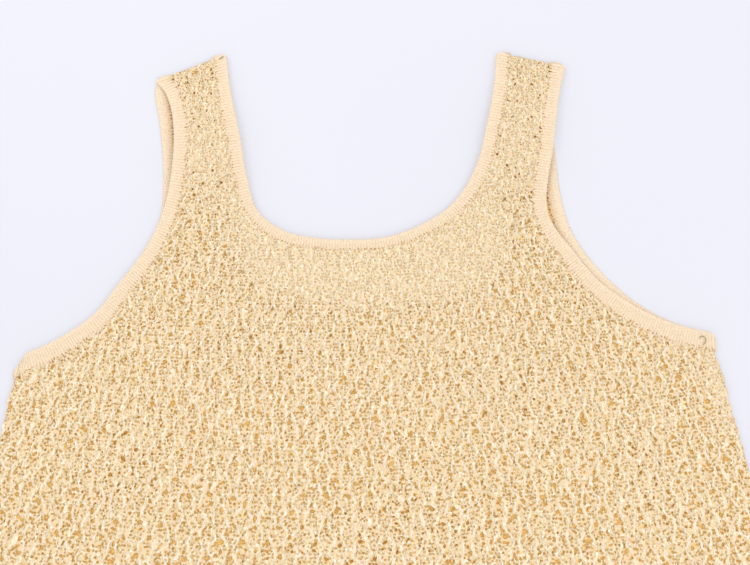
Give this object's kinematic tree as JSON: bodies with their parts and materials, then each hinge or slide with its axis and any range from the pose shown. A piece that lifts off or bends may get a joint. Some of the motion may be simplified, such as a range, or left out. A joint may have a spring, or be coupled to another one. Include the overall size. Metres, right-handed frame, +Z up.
{
  "type": "sweater vest",
  "caption": "Sleeveless openwork knit vest with a scoop neck and wide straps, laid flat, edged with plain-knit bands at neck, armholes and hem.",
  "frame": {"origin": "middle of the bounding box's bottom face, on the surface that the vest lies on", "axes": "+Z up out of that surface; +Y along the vest from hem to shoulders; +X to the right as the vest is seen from above with its shoulders at the top"},
  "size_m": [0.56, 0.5921, 0.0074],
  "materials": {
    "openwork_knit": "matt cotton openwork knit with raised wandering ribs and small eyelets",
    "band_knit": "matt fine plain-knit band, its stitches across the band"
  },
  "bodies": {
    "root": {"front_panel": "openwork_knit", "back_panel": "openwork_knit", "neck_band": "band_knit", "armhole_band_left": "band_knit", "armhole_band_right": "band_knit", "hem_band": "band_knit"}
  },
  "joints": []
}
